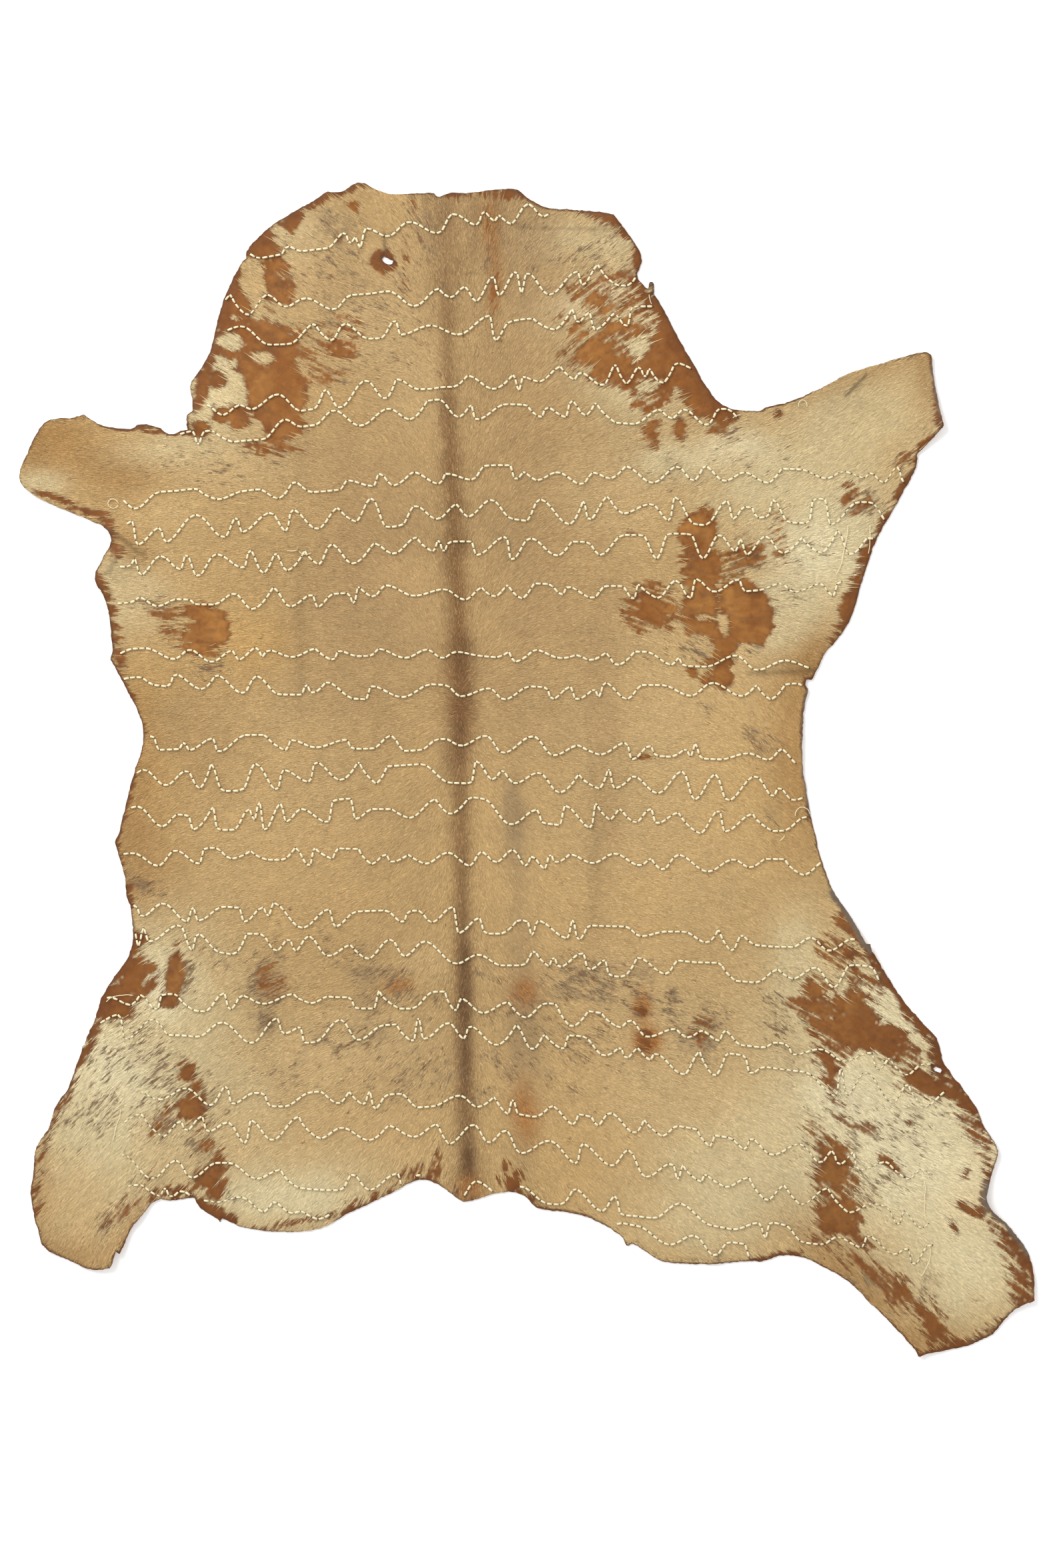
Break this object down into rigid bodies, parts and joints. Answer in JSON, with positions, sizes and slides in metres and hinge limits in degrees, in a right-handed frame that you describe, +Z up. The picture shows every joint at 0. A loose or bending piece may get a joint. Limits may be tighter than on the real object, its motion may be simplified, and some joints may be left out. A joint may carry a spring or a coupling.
{
  "type": "hair-on calfskin",
  "caption": "Hair-on calfskin laid flat, hair side up: neck, forelegs, hind legs and tail root in outline, short coat worn to bare leather in patches, wavy stitched rows.",
  "frame": {"origin": "middle of the skin's bounding box, on the surface that it lies on", "axes": "+Z up from the floor through the skin, +Y from the tail towards the neck, +X to the right when seen from above with the neck at the top"},
  "size_m": [0.899, 1.0401, 0.0122],
  "materials": {
    "coat": "short smooth hair, tan to pale cream, darker along the spine",
    "hide": "smooth-grain orange-brown leather with a raw cut edge and a suede underside",
    "thread": "heavy cream sewing thread"
  },
  "bodies": {
    "root": {"calfskin": "coat"}
  },
  "joints": []
}
